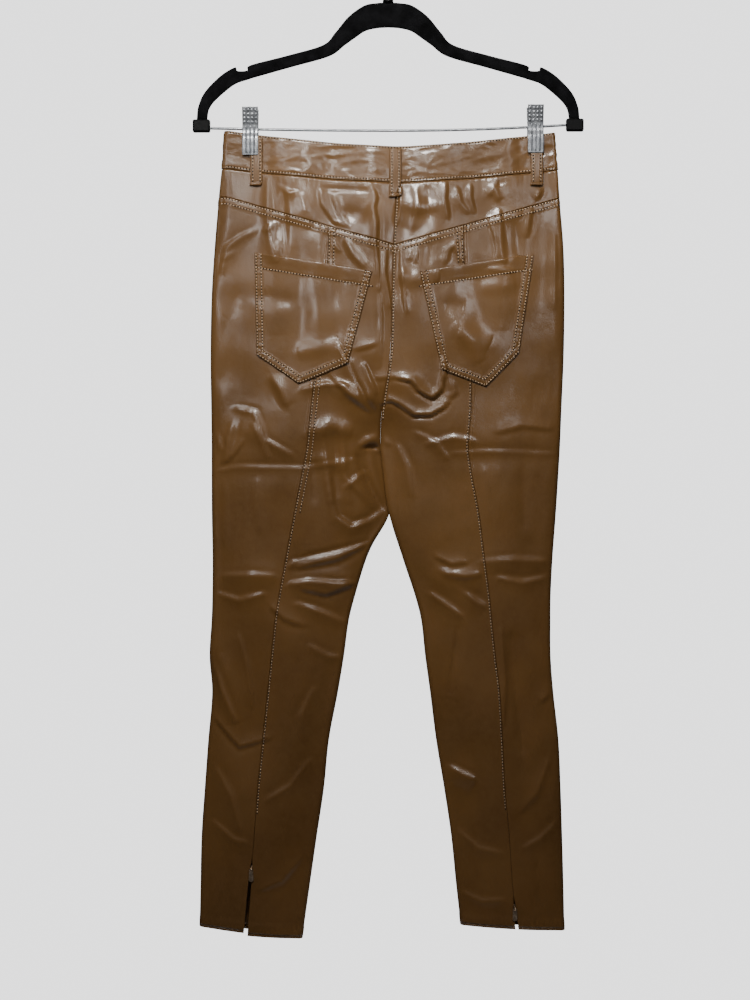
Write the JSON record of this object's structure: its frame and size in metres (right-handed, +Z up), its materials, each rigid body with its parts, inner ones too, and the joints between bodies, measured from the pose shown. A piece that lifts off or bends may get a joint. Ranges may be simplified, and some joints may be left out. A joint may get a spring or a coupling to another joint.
{
  "type": "faux leather trousers on a clip hanger",
  "caption": "Hollow faux leather trousers with patch back pockets and ankle zips, hung flat by the waistband from a velvet clip hanger.",
  "frame": {"origin": "underside of the top of the hanger's hook, where a rail bears on it", "axes": "+Z up, -Y out of the back of the garment (the side shown), -X towards the wearer's left leg"},
  "size_m": [0.4437, 0.0421, 1.137],
  "materials": {
    "faux_leather": "satin brown coated cloth with fine grain",
    "zip_tape": "woven tape",
    "zip_metal": "dark lacquered metal",
    "button_metal": "antique metal",
    "velvet": "flocked velvet",
    "cap_plastic": "satin black",
    "steel": "bright plated"
  },
  "bodies": {
    "garment": {"back_inner_left": "faux_leather", "back_inner_right": "faux_leather", "back_outer_left": "faux_leather", "back_outer_right": "faux_leather", "belt_loop_back_left": "faux_leather", "belt_loop_back_right": "faux_leather", "belt_loop_centre": "faux_leather", "belt_loop_front_left": "faux_leather", "belt_loop_front_right": "faux_leather", "button": "button_metal", "clip_jaw_back_left": "steel", "clip_jaw_back_right": "steel", "clip_jaw_front_left": "steel", "clip_jaw_front_right": "steel", "clip_spring_left": "steel", "clip_spring_right": "steel", "fly": "faux_leather", "front_left": "faux_leather", "front_right": "faux_leather", "hanger_bar": "steel", "hanger_body": "velvet", "hanger_cap_left": "cap_plastic", "hanger_cap_right": "cap_plastic", "hanger_collar": "cap_plastic", "hook": "steel", "pocket_left": "faux_leather", "pocket_right": "faux_leather", "waistband": "faux_leather", "yoke_left": "faux_leather", "yoke_right": "faux_leather", "zip_slider_left": "zip_metal", "zip_slider_right": "zip_metal", "zip_tape_inner_left": "zip_tape", "zip_tape_inner_right": "zip_tape", "zip_tape_outer_left": "zip_tape", "zip_tape_outer_right": "zip_tape"},
    "pull_left": {"zip_pull_left": "zip_metal"},
    "pull_right": {"zip_pull_right": "zip_metal"}
  },
  "joints": [
    {"name": "pull_left_swing", "type": "hinge", "parent": "garment", "child": "pull_left", "pos_m": [-0.15631, -0.01504, -1.0538], "axis": [-1, 0, 0], "range_deg": [0, 170]},
    {"name": "pull_right_swing", "type": "hinge", "parent": "garment", "child": "pull_right", "pos_m": [0.14134, -0.01512, -1.098], "axis": [-1, 0, 0], "range_deg": [0, 170]}
  ]
}
